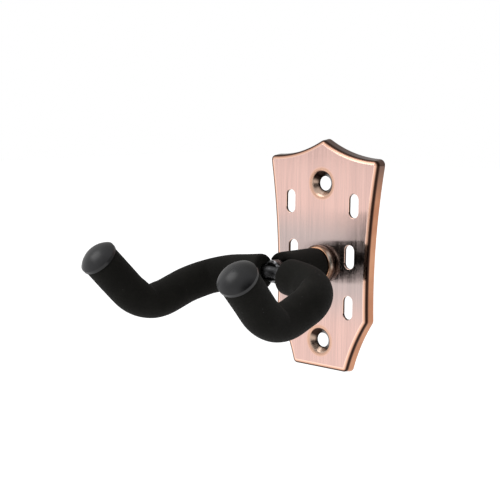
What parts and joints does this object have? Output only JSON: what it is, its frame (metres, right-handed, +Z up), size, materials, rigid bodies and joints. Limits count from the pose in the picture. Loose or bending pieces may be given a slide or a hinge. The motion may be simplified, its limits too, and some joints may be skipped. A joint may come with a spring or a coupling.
{
  "type": "wall guitar hanger",
  "caption": "Wall hanger for a guitar: shield-shaped brushed copper backplate with a swivelling yoke of padded, upswept arms tipped with rubber caps.",
  "frame": {"origin": "where the swivel axis meets the wall plane", "axes": "+Y into the wall along the swivel axis, +Z up along the backplate, +X to the right seen from the front; the yoke stands out along -Y"},
  "size_m": [0.0968, 0.1101, 0.1057],
  "materials": {
    "brushed_copper": "brushed antique copper plating on formed steel",
    "turned_copper": "turned and copper plated, slightly darkened",
    "nylon": "natural nylon",
    "zinc_steel": "zinc plated",
    "spring_steel": "blackened spring steel",
    "black_steel": "blackened, semi-gloss",
    "weld": "blackened weld metal, rippled",
    "foam": "matt closed-cell rubber foam",
    "cap_rubber": "satin moulded rubber"
  },
  "bodies": {
    "plate": {"wall_plate": "brushed_copper", "pivot_bush": "turned_copper", "front_thrust_washer": "nylon", "rear_thrust_washer": "nylon"},
    "yoke": {"rear_washer": "zinc_steel", "retaining_clip": "spring_steel", "swivel_shaft": "black_steel", "yoke_rod": "black_steel", "weld_bead": "weld", "shaft_foam": "foam", "left_arm_foam": "foam", "right_arm_foam": "foam", "left_end_cap": "cap_rubber", "right_end_cap": "cap_rubber"}
  },
  "joints": [
    {"name": "yoke_swivel", "type": "hinge", "parent": "plate", "child": "yoke", "pos_m": [0, -0.0086, 0], "axis": [0, -1, 0], "continuous": true}
  ]
}
